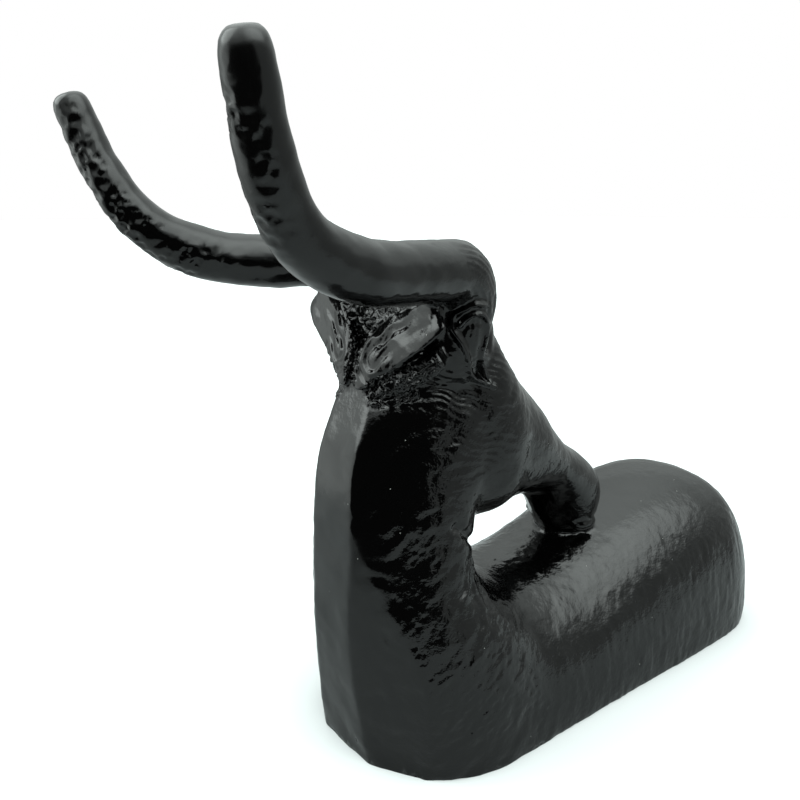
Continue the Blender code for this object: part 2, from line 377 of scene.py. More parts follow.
# upper point, lower point, how far it is muzzle, share of that width, power
headStations = [(8, 101, 11, 80, 0.0, 0.46, 2.2), (9, 107, 13, 72, 0.0, 0.62, 2.3),
                (16, 112, 20, 58, 0.0, 0.79, 2.4), (28.5, 111, 27, 55, 0.0, 0.98, 2.5),
                (36.4, 101.4, 34, 53.5, 0.0, 1.01, 2.4), (43.0, 93.4, 40, 54.5, 0.2, 1.00, 2.3),
                (52.5, 85, 47, 54.5, 0.45, 1.01, 2.2), (60.5, 76, 54, 53.5, 0.75, 1.03, 2.2),
                (68, 69, 60, 52, 0.95, 1.03, 2.2), (77, 63, 63.5, 47.5, 1.0, 1.00, 2.3),
                (83.5, 57, 66.5, 42.5, 1.0, 0.96, 2.3), (85, 50, 70, 38.5, 1.0, 0.84, 2.2),
                (82, 44, 74, 36, 1.0, 0.54, 2.0)]
# how much each section narrows towards its lower point, and how late
headNarrowing = [(0, 4), (0, 4), (0, 4), (0.25, 4), (0.5, 4), (0.6, 4), (0.65, 3.6),
                 (0.75, 2.8), (0.82, 2.2), (0.7, 2), (0.4, 2), (0.1, 2), (0, 2)]


def headShell(f):
    # sections from the poll to the nose, each hung between an upper and a lower point
    stations = smoothRows(headStations, f["sections"])
    topX, topZ, lowX, lowZ, muzzle, wide, power = (k[:, None] for k in stations.T)
    narrow, late = (k[:, None] for k in smoothRows(headNarrowing, f["sections"]).T)
    c, s = roundedRing(f["sides"], power)
    underPower = mix(f["underPower"], f["muzzleUnderPower"], muzzle)
    underC, underS = roundedRing(f["sides"], underPower)
    c, s = np.where(s < 0, underC, c), np.where(s < 0, underS, s)
    x = mix(lowX, topX, (1 + s) / 2)
    z = mix(lowZ, topZ, (1 + s) / 2)
    taper = 1 - narrow * np.maximum(-s, 0) ** late
    y = mix(f["width"], f["muzzle"], muzzle) / 2 * wide * c * taper
    return closedGrid(np.stack([x, y, z], -1))


def sweptShell(path, first, second, aside, sides, dish=0.0):
    # ovals square to a path; their first half size points towards aside, where dish hollows
    # them, and their second across it
    along = np.gradient(path, axis=0)
    along /= np.linalg.norm(along, axis=1)[:, None]
    a = aside - along * (along @ aside)[:, None]
    a /= np.linalg.norm(a, axis=1)[:, None]
    b = np.cross(along, a)
    c, s = roundedRing(sides, 2.0)
    hollow = 1 - dish * (1 - s**2) * (c > 0)
    return closedGrid(path[:, None] + (first[:, None] * c * hollow)[..., None] * a[:, None]
                      + (second[:, None] * s)[..., None] * b[:, None])


antlerForm = {"spread": 81.0, "roots": 24.3, "thickness": 13.4, "tipThickness": 8.8,
              "sections": 240, "sides": 64}
# x, how far it has spread, z, how far it is tip, share of that
antlerStations = [(20.5, 0.00, 96, 0.0, 1.19), (20.8, 0.10, 104, 0.0, 1.13),
                  (20.6, 0.185, 111.2, 0.0, 1.07), (16.0, 0.286, 117.0, 0.0, 1.04),
                  (7.0, 0.372, 117.9, 0.0, 1.00), (-3.8, 0.471, 118.2, 0.05, 1.0),
                  (-13.0, 0.571, 119.1, 0.15, 1.0), (-21.6, 0.644, 121.6, 0.3, 1.0),
                  (-28.9, 0.714, 125.9, 0.5, 1.0), (-33.7, 0.792, 131.6, 0.7, 1.0),
                  (-37.0, 0.873, 138.5, 0.85, 1.0), (-39.3, 0.936, 145.0, 0.97, 1.0),
                  (-40.8, 0.979, 150.2, 1.0, 0.98), (-41.4, 0.993, 153.0, 1.0, 0.84),
                  (-41.7, 1.0, 154.3, 1.0, 0.50)]


def antlerShell(side, f):
    # a round tube that thins towards its tip
    x, spread, z, tip, share = smoothRows(antlerStations, f["sections"]).T
    y = side * mix(f["roots"], f["spread"], spread) / 2
    half = mix(f["thickness"], f["tipThickness"], tip) / 2 * share
    outwards = np.array([0, 1.0, 0])
    return sweptShell(np.stack([x, y, z], -1), half, half, outwards, f["sides"])


earForm = {"thickness": 3.3, "dish": 0.5, "facing": (-0.97, 0.2, 0.32),
           "sections": 120, "sides": 64}
# middle of the leaf x, y, z, its width, share of the thickness, from the outer end to the tip
earStations = [(8.6, 23.2, 110.0, 7.4, 0.75), (7.8, 21.8, 108.8, 9.8, 0.95),
               (7.2, 18.6, 106.8, 11.0, 1.0), (6.4, 14.3, 104.3, 11.6, 1.0),
               (5.3, 9.8, 101.2, 11.8, 1.0), (4.1, 6.4, 98.2, 10.8, 1.0),
               (3.0, 4.3, 95.2, 8.2, 0.9), (2.0, 3.0, 92.4, 5.0, 0.7),
               (1.5, 2.4, 90.8, 2.0, 0.4)]


def earShell(side, f):
    # a leaf hung outwards and up, hollow in front
    x, y, z, wide, thin = smoothRows(earStations, f["sections"]).T
    facing = np.array(f["facing"]) * (1, side, 1)
    return sweptShell(np.stack([x, side * y, z], -1), thin * f["thickness"] / 2, wide / 2,
                      facing, f["sides"], f["dish"])


earRollForm = {"facing": (-0.8, 0, 0.5), "sections": 80, "sides": 40}
# the rough roll of material under an ear: x, y, z, half its thickness, half its width
earRollStations = [(12.4, 19.8, 99.6, 2.0, 2.6), (11.0, 17.0, 97.6, 2.8, 3.4),
                   (8.8, 12.2, 94.8, 2.8, 3.4), (7.0, 7.8, 92.4, 2.4, 3.0),
                   (6.0, 4.6, 90.8, 1.6, 2.2)]


def earRollShell(side, f):
    # an oval tube along the underside of the ear
    x, y, z, thin, wide = smoothRows(earRollStations, f["sections"]).T
    return sweptShell(np.stack([x, side * y, z], -1), thin, wide, np.array(f["facing"]), f["sides"])


# pillows that fill the temples under the antlers and the nape beside them, and the lips that
# rest on the back: middle, half sizes, power
templeForms = [((22.4, 13.0, 101.0), (9.2, 7.6, 12.8), 2.1),
               ((12.8, 11.4, 107.4), (5.2, 7.6, 6.6), 2.4)]
lipForms = [((76.0, 8.6, 42.8), (4.8, 3.2, 2.4), 2.1)]


def padShell(form, side, levels=40, sides=48):
    # a pillow: squared-off rings round z that close above and below
    (x, y, z), half, power = form
    lift = np.linspace(-pi / 2, pi / 2, levels)[:, None]
    rise = np.sign(np.sin(lift)) * abs(np.sin(lift)) ** (2 / power)
    reach = np.cos(lift) ** (2 / power)
    c, s = roundedRing(sides, np.array(power))
    ring = np.stack([reach * c, reach * s, rise + 0 * c], -1)
    return closedGrid(np.array((x, side * y, z)) + ring * half)


# cells in mm, and how often the skin is smoothed: the trunk, all of it, its seams and its fine
# zone, each time by pull; sunk leaves room for the relief inside the part's box
skinGrid = {"trunkCell": 2.0, "trunkPasses": 40, "cell": 0.5, "passes": 10, "seamPasses": 40,
            "finePasses": 2, "pull": 0.5, "sunk": 0.25, "limit": 190000}


def stagSkin(g):
    # body and neck melt into one trunk with a pared chest, and everything else is fused to it
    trunk, trunkTris = fused("trunk", [bodyShell(bodyForm), neckShell(neckForm)],
                             g["trunkCell"], g["trunkPasses"], refineTwice=True)
    trunk = paredChest(trunk, chestForm)
    shells = [(trunk, trunkTris), headShell(headForm)]
    for side in (-1, 1):
        shells += [antlerShell(side, antlerForm), earShell(side, earForm),
                   earRollShell(side, earRollForm)]
        shells += [padShell(form, side) for form in templeForms + lipForms]
    return fused("skin", shells, g["cell"], g["passes"])


# relief: each function adds its kinds of marks, in mm along the normal, to height. Its values say
# how far they go, how large they are and where their soft edges are

skinMarks = {"swell": 0.16, "swellSize": 7.0, "peel": 0.05, "peelSize": 1.7}


def skinRelief(p, f):
    # slow swellings all over, and a finer unevenness
    return f["swell"] * layered(p / f["swellSize"], 3) + f["peel"] * waves(p / f["peelSize"], 11)


neckMarks = {"ripple": 0.2, "rippleSize": 3.4, "rippleShape": (1.4, 1.0, 0.65),
             "rippleSlant": (0.8, 0.6), "drift": 2.5, "driftSize": 6.0,
             "rippleEdges": [("out", 9, 14), ("x", 50, 34), ("z", 95, 90)],
             "streak": 0.1, "streakSize": 1.3, "streakShape": (1.0, 1.0, 4.0),
             "streakEdges": [("x", 34, 50), ("z", 46, 34)]}


def neckRelief(height, p, f):
    # liquid slanted ripples on neck and cheeks, and upright streaks along the flanks
    at = places(p)
    drifted = slanted(p, *f["rippleSlant"]) + f["drift"] * wander(folded(p) / f["driftSize"], 13)
    size = f["rippleSize"] * np.array(f["rippleShape"])
    height += f["ripple"] * within(at, f["rippleEdges"]) * waves(drifted / size, 17)
    size = f["streakSize"] * np.array(f["streakShape"])
    height += f["streak"] * within(at, f["streakEdges"]) * layered(p / size, 18)


dimpleMarks = {"depth": 0.26, "size": 1.7, "slant": (0.9, 0.4), "shape": (0.62, 1, 1),
               "waver": 0.3, "hollow": (0.65, 0.1), "facing": (-0.8, -0.55), "lean": 0.35,
               "patchSize": 9.0, "patchShare": 0.75, "patchChange": 0.7,
               "edges": [("z", 5, 13), ("z", 78, 48), ("leaning", 56, 38), ("out", 10, 15)]}


def dimpleRelief(height, p, n, f):
    # short slanted dimples hammered into the sides of the neck, in patches
    at = places(p)
    at["leaning"] = at["x"] + f["lean"] * at["z"]
    patch = within(at, f["edges"])
    often = f["patchShare"] + f["patchChange"] * waves(p / f["patchSize"], 21)
    patch *= ramp(n[:, 0], *f["facing"]) * np.clip(often, 0, 1)
    here = patch > 0.02
    q = slanted(folded(p[here]), *f["slant"]) * f["shape"]
    near, _ = grains(q / f["size"] + f["waver"] * waves(q, 5)[:, None], 31)
    height[here] -= f["depth"] * patch[here] * ramp(near, *f["hollow"])


cheekMarks = {"fold": 1.2, "foldWidth": 1.1,
              "foldBox": {"x": (10, 30), "out": (10, 99), "z": (50, 66)},
              "foldLine": [(26.5, 53.0), (23.0, 55.2), (19.5, 58.2), (16.6, 60.4)],
              "flow": 0.06, "flowStep": 1.8, "flowLean": 0.35, "flowBeyond": 0.12,
              "slowSway": (2.6, 8.0), "quickSway": (1.1, 3.1),
              "flowEdges": [("z", 60, 72), ("z", 104, 96), ("x", 8, 16), ("x", 40, 30),
                            ("out", 6, 12)],
              "wrinkle": 0.34, "wrinkles": 24, "corner": (21, 57),
              "wrinkleEdges": [("reach", 4, 9), ("reach", 24, 12), ("turn", -2.3, -1.8),
                               ("turn", -0.05, -0.5), ("out", 7, 12)]}


def cheekRelief(height, p, f):
    at, q = places(p), folded(p)
    x, out, z = at["x"], at["out"], at["z"]

    # a fold where the jaw meets the throat
    here = boxed(at, f["foldBox"])
    fold = fromLine(p[here][:, [0, 2]], f["foldLine"], 20)
    height[here] -= f["fold"] * ridge(fold, f["foldWidth"])

    # flow lines over the cheek, as if the material had been laid down in wavy courses, and
    # fainter ones beyond it
    (slow, slowSize), (quick, quickSize) = f["slowSway"], f["quickSway"]
    course = z + f["flowLean"] * x
    course = course + slow * waves(q / slowSize, 41) + quick * waves(q / quickSize, 43)
    flow = np.sin(2 * pi * course / f["flowStep"])
    share = f["flowBeyond"] * ramp(x, 54, 44) + within(at, f["flowEdges"])
    height += f["flow"] * share * ramp(out, 2, 8) * flow * ramp(z, 50, 64)

    # wrinkles that spread from the corner of the throat
    cornerX, cornerZ = f["corner"]
    at["reach"] = np.hypot(x - cornerX, z - cornerZ)
    at["turn"] = np.arctan2(z - cornerZ, x - cornerX)
    wrinkle = np.sin(at["turn"] * f["wrinkles"] + 2.0 * waves(q / 4.0, 51))
    uneven = 0.6 + 0.6 * waves(q / 2.5, 52)
    height += f["wrinkle"] * within(at, f["wrinkleEdges"]) * wrinkle * uneven


# the middle of the ears' leaves seen from above, y and x
leafLine = [(2.4, 1.5), (4.3, 3.0), (6.4, 4.1), (9.8, 5.3), (14.3, 6.3), (18.6, 7.0), (23.2, 8.4)]


def behindLeaf(at):
    # how far behind the middle of an ear's leaf each point is
    y, x = np.transpose(leafLine)
    return at["x"] - np.interp(at["out"], y, x)


crumbMarks = {"rise": 0.95, "size": 2.3, "sunk": 0.68, "warp": 0.7, "warpSize": 1.6,
              "gap": (0.02, 0.35), "fineRise": 0.3, "fineSize": 0.45, "fineWarp": 0.4,
              "fineGap": (0.02, 0.4), "fineEdge": (-0.4, 0.3),
              "napeEdges": [("z", 93, 96), ("z", 113, 110), ("x", 18, 14), ("out", 15, 12),
                            ("behind", 1.4, 2.4)],
              "rollBox": {"x": (-99, 13), "out": (-1, 26), "z": (84, 104)},
              "rollLine": [(21, 97.5), (16.5, 95.0), (11.5, 92.2), (8.0, 90.6)],
              "rollEdge": (3.9, 2.3), "rollBack": (12.5, 10.5),
              "betweenEdges": [("out", 3.2, 1.6), ("z", 91, 93), ("z", 104, 100), ("x", 10, 8)],
              "lips": 0.12, "lipMiddle": (75, 9), "lipHalf": (12, 6), "lipWidth": 0.9,
              "lipFoot": (37, 40), "lipTop": (49, 44)}


def crumbRelief(height, p, f):
    # crumbs on the nape behind the ears' leaves, on the rolls under them, between them and
    # where the lips rest on the back
    at = places(p)
    at["behind"] = behindLeaf(at)
    x, out, z = at["x"], at["out"], at["z"]
    rolled = boxed(at, f["rollBox"])
    below = np.zeros(len(p))
    below[rolled] = ramp(fromLine(folded(p[rolled])[:, 1:], f["rollLine"], 30), *f["rollEdge"])
    below *= ramp(x, *f["rollBack"])
    (middleX, middleY), (halfX, halfY) = f["lipMiddle"], f["lipHalf"]
    lips = ridge(np.hypot((x - middleX) / halfX, (out - middleY) / halfY), f["lipWidth"])
    lips = lips * ramp(z, *f["lipFoot"]) * ramp(z, *f["lipTop"])
    rough = np.clip(within(at, f["napeEdges"]) + below + within(at, f["betweenEdges"])
                    + f["lips"] * lips, 0, 1)

    # large crumbs with grooves between them, uneven in height, and small ones on some of them
    here = rough > 0.02
    q = p[here]
    warp = wander(q / f["warpSize"], 60)
    near, after = grains((q + f["warp"] * warp) / f["size"], 63)
    crumb = ramp(after - near, *f["gap"]) * (0.8 + 0.5 * waves(q / 3.0, 65)) - f["sunk"]
    near, after = grains((q + f["fineWarp"] * warp) / (f["fineSize"] * f["size"]), 66)
    some = ramp(waves(q / 3.5, 67), *f["fineEdge"])
    crumb += f["fineRise"] * ramp(after - near, *f["fineGap"]) * some
    height[here] += rough[here] * f["rise"] * crumb


# laterStart moves the start of the pits on the antler at negative y, as a share of its length
antlerMarks = {"lump": 0.26, "lumpSize": 8.0, "sunk": 0.15, "reach": (12, 9),
               "pit": 0.5, "pitSize": 2.4, "hollow": (0.75, 0.1), "waver": 0.25, "waverSize": 1.5,
               "pitStart": (0.36, 0.50), "pitEnd": (0.96, 0.88), "laterStart": 0.17,
               "facing": (-0.1, 0.4), "wornShare": 0.6, "wornSize": 6.0,
               "groove": 0.08, "grooveStep": 1.35, "bend": (9, 105), "sway": 0.5, "swaySize": 4.0,
               "grooveEdges": [("x", 9, 15), ("z", 100, 107), ("out", 8, 12)]}


def antlerPlace(p, count=160):
    # how far along an antler points are, from 0 at the root to 1 at the tip, and how far off it
    x, spread, z, _, _ = smoothRows(antlerStations, count).T
    y = mix(antlerForm["roots"], antlerForm["spread"], spread) / 2
    gap = ((folded(p)[:, None] - np.stack([x, y, z], -1)) ** 2).sum(-1)
    return gap.argmin(1) / (count - 1), np.sqrt(gap.min(1))


def antlerRelief(height, p, n, f):
    # slow lumps, pits worn into the fronts of the antlers, and grooves round their bend
    at = places(p)
    x, out, z = at["x"], at["out"], at["z"]
    here = (z > 106) & ((z > 114) | (x < 4) | (out > 22))
    q = p[here]
    share, gap = antlerPlace(q)
    lump = f["lump"] * layered(q / f["lumpSize"], 71) - f["sunk"]
    start, full = f["pitStart"]
    later = np.where(q[:, 1] < 0, f["laterStart"], 0.0)
    worn = ramp(share, start + later, full + later) * ramp(share, *f["pitEnd"])
    worn *= ramp(-n[here, 0], *f["facing"])
    worn *= np.clip(f["wornShare"] + waves(q / f["wornSize"], 73), 0, 1)
    waver = f["waver"] * waves(q / f["waverSize"], 75)[:, None]
    near, _ = grains(q / f["pitSize"] + waver, 77)
    lump -= f["pit"] * worn * ramp(near, *f["hollow"])
    height[here] += lump * ramp(gap, *f["reach"])
    bendX, bendZ = f["bend"]
    arc = np.hypot(x - bendX, z - bendZ) + f["sway"] * waves(folded(p) / f["swaySize"], 79)
    height += f["groove"] * within(at, f["grooveEdges"]) * np.sin(2 * pi * arc / f["grooveStep"])


# the spine is seen from the front, y and z
earMarks = {"ring": 0.2, "ringStep": 3.1, "fine": 0.07, "fineStep": 0.45, "swell": 0.2,
            "box": {"x": (-99, 11), "out": (-1, 26), "z": (86, 114)},
            "spine": [(23, 109.6), (18.6, 107.6), (14.3, 105.0), (9.8, 101.6), (7.0, 98.4)],
            "edge": (6.4, 5.6), "behind": (1.4, 0.6), "facing": (0.1, 0.5),
            "outerEnd": (23.5, 20.5), "tip": (15, 8)}


def earRelief(height, p, n, f):
    # folds on the ears' leaves, nested round a spine that stops short of the tip, and a finer
    # set towards it
    here = boxed(places(p), f["box"])
    q = folded(p[here])
    spine = fromLine(q[:, 1:], f["spine"], 40)
    leaf = ramp(spine, *f["edge"]) * ramp(behindLeaf(places(q)), *f["behind"])
    leaf *= ramp(-n[here, 0], *f["facing"])
    leaf *= ramp(q[:, 1], *f["outerEnd"])
    tip = ramp(q[:, 1], *f["tip"])
    wave = np.cos(2 * pi * (spine + 1.3 * waves(q / 4.5, 81)) / f["ringStep"])
    finer = np.cos(2 * pi * (spine + 0.6 * waves(q / 2.0, 82)) / (f["fineStep"] * f["ringStep"]))
    fold = 0.3 + 0.35 * waves(q / 5.0, 84)
    height[here] += leaf * (f["ring"] * mix(fold, 1, tip) * wave + f["fine"] * tip * finer
                            + f["swell"] * layered(q / 4.5, 83))


eyeMarks = {"rim": 0.9, "rimWidth": 0.5, "moat": 0.1, "moatPlace": 2.4, "brow": 0.3,
            "browWidth": 0.5, "ball": 0.3, "ballMiddle": (18.9, 102.0), "ballHalf": (3.2, 6.0),
            "ballWidth": 0.8, "slit": 1.1, "slitWidth": 0.55, "crease": 1.0, "creaseWidth": 1.0,
            "facing": (0.2, 0.6), "box": {"x": (9, 32), "out": (14, 99), "z": (87, 114)}}
# lines round an eye, x and z seen from the side
eyeFrontRim = [(19.0, 110.8), (16.5, 111.2), (15.2, 109.8), (14.7, 107.8), (15.0, 105.2),
               (16.8, 102.1), (18.6, 98.6), (19.8, 95.8), (22.0, 93.8), (27.3, 91.5)]
eyeBackRim = [(15.8, 106.2), (17.3, 108.6), (19.4, 108.7), (21.6, 106.8), (22.3, 104.5),
              (22.2, 101.9), (22.1, 99.3), (24.0, 96.4), (26.3, 92.3)]
eyeSlit = [(22.4, 97.0), (23.7, 95.1), (25.7, 93.1)]
browRidge = [(16.8, 111.5), (21.0, 110.4), (22.7, 108.6), (23.3, 106.4)]
templeCrease = [(24.0, 111.5), (25.3, 107.6), (26.1, 103.6), (26.2, 100.0)]


def eyeRelief(height, p, n, f):
    # thin rims with a moat outside, a brow, a bulging ball, a slit under it and a crease behind
    here = boxed(places(p), f["box"])
    flat = p[here][:, [0, 2]]
    rim = np.minimum(fromLine(flat, eyeFrontRim), fromLine(flat, eyeBackRim))
    moat = ridge(rim - f["moatPlace"] * f["rimWidth"], f["rimWidth"])
    marks = f["rim"] * (ridge(rim, f["rimWidth"]) - f["moat"] * moat)
    marks += f["brow"] * f["rim"] * ridge(fromLine(flat, browRidge), f["browWidth"])
    fromBall = (flat - f["ballMiddle"]) / f["ballHalf"]
    marks += f["ball"] * ridge(np.hypot(fromBall[:, 0], fromBall[:, 1]), f["ballWidth"])
    marks -= f["slit"] * ridge(fromLine(flat, eyeSlit), f["slitWidth"])
    marks -= f["crease"] * ridge(fromLine(flat, templeCrease), f["creaseWidth"])
    height[here] += marks * ramp(abs(n[here, 1]), *f["facing"])


def relief(p, n):
    # every kind of mark added up, as a height along the normal
    height = skinRelief(p, skinMarks)
    neckRelief(height, p, neckMarks)
    dimpleRelief(height, p, n, dimpleMarks)
    cheekRelief(height, p, cheekMarks)
    crumbRelief(height, p, crumbMarks)
    antlerRelief(height, p, n, antlerMarks)
    earRelief(height, p, n, earMarks)
    eyeRelief(height, p, n, eyeMarks)
    return height


# the skin is made twice as fine here: ears, temples, eyes and nape
fineZone = {"x": (-2, 29), "out": (-1, 28), "z": (87, 113.5)}
# where jaw and throat meet, and throat and back: x and z of the middle, how much longer and
# higher it is than round, where it starts and where it is full
seams = [(27, 66, 1.0, 1.4, 8, 4), (30, 43, 1.5, 1.0, 12, 6)]
seamOut = (6, 12)


def seamShare(p):
    # how much the skin is rounded at each point
    at = places(p)
    share = 0.0
    for x, z, long, high, start, full in seams:
        away = np.hypot((at["x"] - x) / long, (at["z"] - z) / high)
        share = np.maximum(share, ramp(away, start, full))
    return share * ramp(at["out"], *seamOut)


def withinTriangles(name, points, tris, limit):
    # thins the skin to the limit, least where it is most curved
    obj = meshObject(name, points, tris)
    thin = obj.modifiers.new("thin", "DECIMATE")
    thin.ratio = min(1.0, limit / len(tris))
    return finished(obj)


points, tris = stagSkin(skinGrid)
print("skin fused,", len(tris), "triangles")
pull = skinGrid["pull"]
points = relaxed(points, tris, pull * seamShare(points), skinGrid["seamPasses"])
points, tris = refined(points, tris, boxed(places(points), fineZone))
points = relaxed(points, tris, pull * boxed(places(points), fineZone), skinGrid["finePasses"])
height = relief(points, normalsOf(points, tris)) - skinGrid["sunk"]
points = points + normalsOf(points, tris) * height[:, None]
points[:, 2] = np.maximum(points[:, 2], 0)
print("relief laid on,", len(tris), "triangles")
points, tris = withinTriangles("fineSkin", points, tris, skinGrid["limit"])
points = np.clip(points + (chestX, 0, 0), np.array(cadBox[0]) / mm, np.array(cadBox[1]) / mm)
print("skin thinned to", len(tris), "triangles")


# the finish: a black gloss coat, dark enough that it shows only what it mirrors

def linear(hexColour):
    parts = [int(hexColour[k:k + 2], 16) / 255 for k in (1, 3, 5)]
    return [p / 12.92 if p <= 0.04045 else ((p + 0.055) / 1.055) ** 2.4 for p in parts] + [1.0]


def addNode(tree, kind, settings=None, **links):
    # settings go to properties or to sockets by name, links to sockets from other nodes' sockets
    node = tree.nodes.new(kind)
    for key, value in (settings or {}).items():
        if isinstance(key, int) or key in node.inputs:
            node.inputs[key].default_value = value
        else:
            setattr(node, key, value)
    for key, source in links.items():
        numbered = key[0] == "i" and key[1:].isdigit()
        tree.links.new(source, node.inputs[int(key[1:]) if numbered else key])
    return node


def remapped(tree, value, start, full, low=0.0, high=1.0, kind="SMOOTHSTEP"):
    # goes from low to high while value goes from start to full
    return addNode(tree, "ShaderNodeMapRange", {
        "interpolation_type": kind, "From Min": start, "From Max": full,
        "To Min": low, "To Max": high}, Value=value).outputs[0]


def combined(tree, operation, a, b):
    return addNode(tree, "ShaderNodeMath", {"operation": operation}, i0=a, i1=b).outputs[0]


# black gloss lacquer, sprayed over a cast plastic body and fingered since: nearly no colour of
# its own, a mirror at grazing angles, clearer where the coat ran thick and hazier where it was
# thin or rubbed. Sizes are in mm, places in m
glossLook = {"colour": "#020202", "roughness": 0.055, "ior": 1.5,
             "haze": 0.08, "hazeSize": 14.0, "hazeEdges": (0.35, 0.7),
             "rub": 0.04, "rubSize": 0.5, "rubShape": (1, 1, 0.12), "rubEdges": (0.58, 0.75),
             "grip": 0.11, "gripRise": (0.110, 0.128), "gripSide": (-0.010, -0.024),
             "peel": 0.2, "peelSize": 2.1, "peelRoughness": 0.6,
             "smoothFront": (-0.0765, -0.069), "frontPeel": 0.06,
             "smoothTop": (0.100, 0.088), "topPeel": 0.4,
             "dust": "#8d8e8a", "dustStep": 6.0, "dustSize": 0.13}


def blackGlossLacquer(look):
    material = bpy.data.materials.new("blackGlossLacquer")
    material.use_nodes = True
    tree = material.node_tree
    shader = tree.nodes["Principled BSDF"]
    place = addNode(tree, "ShaderNodeTexCoord").outputs["Object"]
    where = addNode(tree, "ShaderNodeSeparateXYZ", Vector=place)

    # haze in slow clouds, and fine upright rub marks, both only in how clear the mirror is
    clouds = addNode(tree, "ShaderNodeTexNoise", {"Scale": 1000 / look["hazeSize"], "Detail": 3.0},
                     Vector=place)
    haze = remapped(tree, clouds.outputs["Fac"], *look["hazeEdges"], look["roughness"],
                    look["roughness"] + look["haze"], "LINEAR")
    drawn = addNode(tree, "ShaderNodeMapping", {"Scale": look["rubShape"]}, Vector=place)
    marks = addNode(tree, "ShaderNodeTexNoise", {"Scale": 1000 / look["rubSize"], "Detail": 2.0},
                    Vector=drawn.outputs[0])
    rub = remapped(tree, marks.outputs["Fac"], *look["rubEdges"], 0.0, look["rub"], "LINEAR")
    rough = combined(tree, "ADD", haze, rub)

    # the antler on one side is dulled by the hand that lifts the figure
    high = remapped(tree, where.outputs["Z"], *look["gripRise"])
    near = remapped(tree, where.outputs["Y"], *look["gripSide"], 0.0, look["grip"])
    rough = combined(tree, "ADD", rough, combined(tree, "MULTIPLY", high, near))

    # orange peel of the sprayed coat, less on the pared chest and the antlers; it is really finer,
    # drawn at the size the picture can show
    skin = addNode(tree, "ShaderNodeTexNoise", {"Scale": 1000 / look["peelSize"], "Detail": 3.0,
                   "Roughness": look["peelRoughness"]}, Vector=place)
    front = remapped(tree, where.outputs["X"], *look["smoothFront"], look["frontPeel"], 1.0,
                     "LINEAR")
    top = remapped(tree, where.outputs["Z"], *look["smoothTop"], look["topPeel"], 1.0, "LINEAR")
    peel = addNode(tree, "ShaderNodeBump", {"Distance": look["peel"] / 1000},
                   Height=skin.outputs["Fac"], Strength=combined(tree, "MULTIPLY", front, top))

    # a few specks of pale dust
    specks = addNode(tree, "ShaderNodeTexVoronoi", {"Scale": 1000 / look["dustStep"]},
                     Vector=place)
    speck = addNode(tree, "ShaderNodeMath", {
        "operation": "LESS_THAN", 1: look["dustSize"] / look["dustStep"]},
        i0=specks.outputs["Distance"])
    colour = addNode(tree, "ShaderNodeMix", {"data_type": "RGBA", 6: linear(look["colour"]),
                     7: linear(look["dust"])}, i0=speck.outputs[0])

    tree.links.new(colour.outputs[2], shader.inputs["Base Color"])
    tree.links.new(rough, shader.inputs["Roughness"])
    tree.links.new(peel.outputs[0], shader.inputs["Normal"])
    shader.inputs["IOR"].default_value = look["ior"]
    return material


stag = meshObject("stagFigure", points * mm, tris)
stag.data.shade_smooth()
stag.data.materials.append(blackGlossLacquer(glossLook))
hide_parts("stag")
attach(stag, "root")


# floor, lights and camera, in m and degrees

# the table's colour fades from fadeFrom out to its rim, and is darker by painted shade round
# shadePlace
studioForm = {"floorSize": 20.0, "floorColour": "#d6d8d9", "backdrop": "#f6fffc",
              "tableReach": 0.45, "tableColour": "#8d9091", "tableDrop": 0.0002, "tableSides": 96,
              "fadeFrom": 0.12, "shade": 0.15, "shadePlace": (-0.294, -0.110, 0.0),
              "shadeReach": (0.065, 0.165), "roomGlow": 3.0, "keyRise": (0.28, 0.57)}
# turn, rise, how far it fades and how far it is full in degrees, radiance
lobes = {"key": (-76, 46, 46, 14, 1.9), "side": (140, 38, 34, 18, 2.6),
         "fill": (138, 5, 40, 16, 1.0)}
# how bright the room is by the sine of the height looked at, as a share of roomGlow
roomLevels = [(0.0, 0.14), (0.2, 0.16), (0.36, 0.28), (0.55, 0.33), (0.72, 0.50),
              (0.88, 0.72), (1.0, 0.93)]
# a dark card with a soft rim beside the camera; its oval's middle and half sizes along it and up,
# and how much wider its sheet is than the oval
darkCard = {"place": (-0.186, -0.152, 0.0), "turn": -64.15, "glow": 0.02,
            "middle": (0.04, 0.03), "half": (0.30, 0.165), "rim": (0.82, 1.12), "sheet": 1.3}


def towards(turn, rise):
    turn, rise = radians(turn), radians(rise)
    return Vector((np.cos(rise) * np.cos(turn), np.cos(rise) * np.sin(turn), np.sin(rise)))


def plainPaper(name, colour):
    # matt paper, too rough to mirror anything
    paper = bpy.data.materials.new(name)
    paper.use_nodes = True
    shader = paper.node_tree.nodes["Principled BSDF"]
    shader.inputs["Base Color"].default_value = linear(colour)
    shader.inputs["Roughness"].default_value = 0.9
    return paper


def cleared(tree, share, surface):
    # the surface where share is 0 and nothing at all where it is 1
    clear = addNode(tree, "ShaderNodeBsdfTransparent")
    seen = addNode(tree, "ShaderNodeMixShader", i0=share, i1=surface, i2=clear.outputs[0])
    tree.links.new(seen.outputs[0], tree.nodes["Material Output"].inputs["Surface"])


